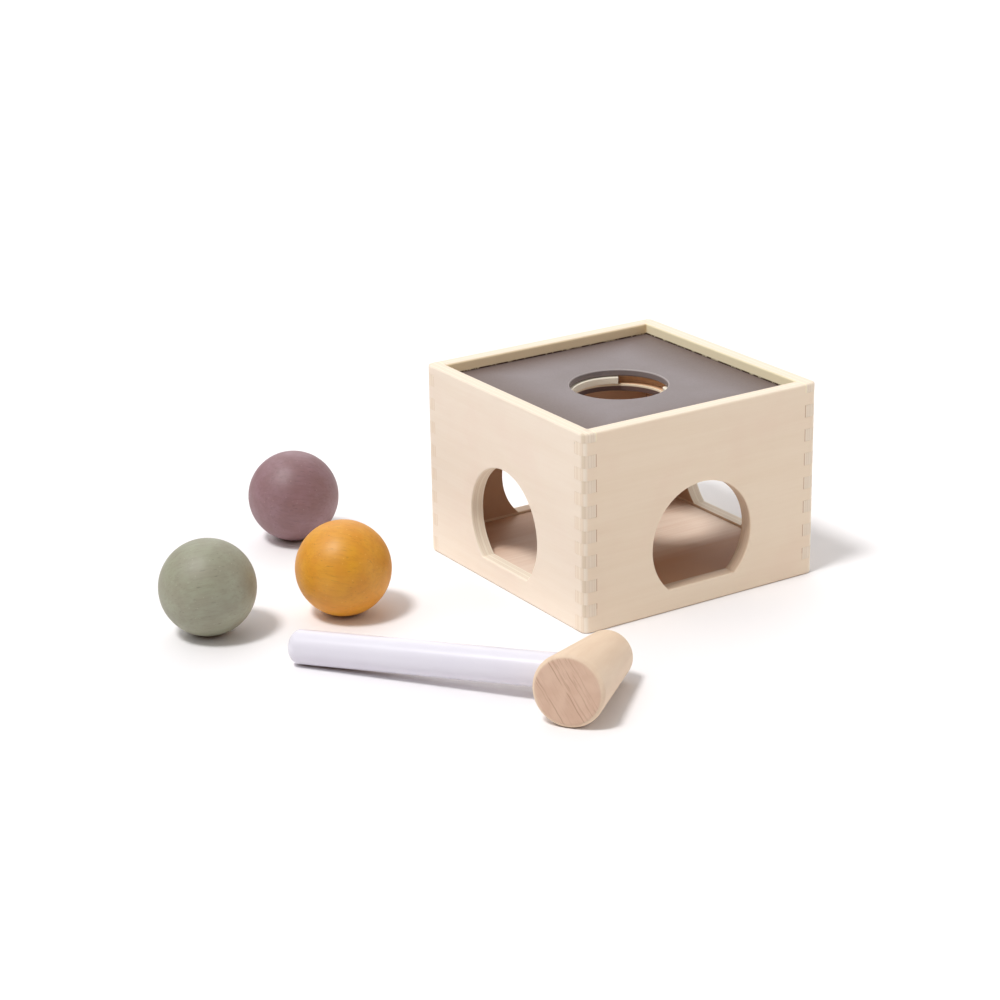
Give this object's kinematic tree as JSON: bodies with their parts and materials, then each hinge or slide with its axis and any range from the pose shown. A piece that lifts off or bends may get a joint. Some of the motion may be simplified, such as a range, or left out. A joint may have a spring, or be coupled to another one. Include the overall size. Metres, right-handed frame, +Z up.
{
  "type": "ball pounding box",
  "caption": "Finger-jointed wooden pounding box with a ball hole in its grey top and a round opening in each side, with loose stained balls and a mallet.",
  "frame": {"origin": "middle of the whole set's footprint, at table height", "axes": "+Z up; the box's front wall faces -Y; +X runs along the front wall, away from the loose pieces"},
  "size_m": [0.3306, 0.3342, 0.1077],
  "materials": {
    "birch_plywood": "pale birch plywood, clear matte lacquer",
    "grey_paint": "grey-mauve matte paint on wood",
    "ring_cream": "cream, springy, matte",
    "mauve_stain": "dusty mauve stain, matte",
    "mustard_stain": "mustard stain, matte",
    "sage_stain": "sage green stain, matte",
    "beech": "natural sanded beech",
    "lilac_white": "lilac-white gloss paint on wood"
  },
  "bodies": {
    "box": {"front_wall": "birch_plywood", "right_wall": "birch_plywood", "back_wall": "birch_plywood", "left_wall": "birch_plywood", "top_panel": "grey_paint", "floor_panel": "birch_plywood", "ring_holder": "birch_plywood", "split_ring": "ring_cream"},
    "mauve_ball": {"ball_mauve": "mauve_stain"},
    "mustard_ball": {"ball_mustard": "mustard_stain"},
    "sage_ball": {"ball_sage": "sage_stain"},
    "mallet": {"mallet_head": "beech", "mallet_handle": "lilac_white"}
  },
  "joints": [
    {"name": "mauve_roll", "type": "slide", "parent": "box", "child": "mauve_ball", "axis": [-1, 0, 0], "range_m": [-0.1, 0.1]},
    {"name": "mustard_roll", "type": "slide", "parent": "box", "child": "mustard_ball", "axis": [-1, 0, 0], "range_m": [-0.055, 0.012]},
    {"name": "sage_roll", "type": "slide", "parent": "box", "child": "sage_ball", "axis": [-1, 0, 0], "range_m": [0, 0.12]},
    {"name": "mallet_swing", "type": "hinge", "parent": "box", "child": "mallet", "pos_m": [-0.12003, -0.01447, 0.0088], "axis": [-0.8065, -0.5913, 0], "range_deg": [0, 70]}
  ]
}
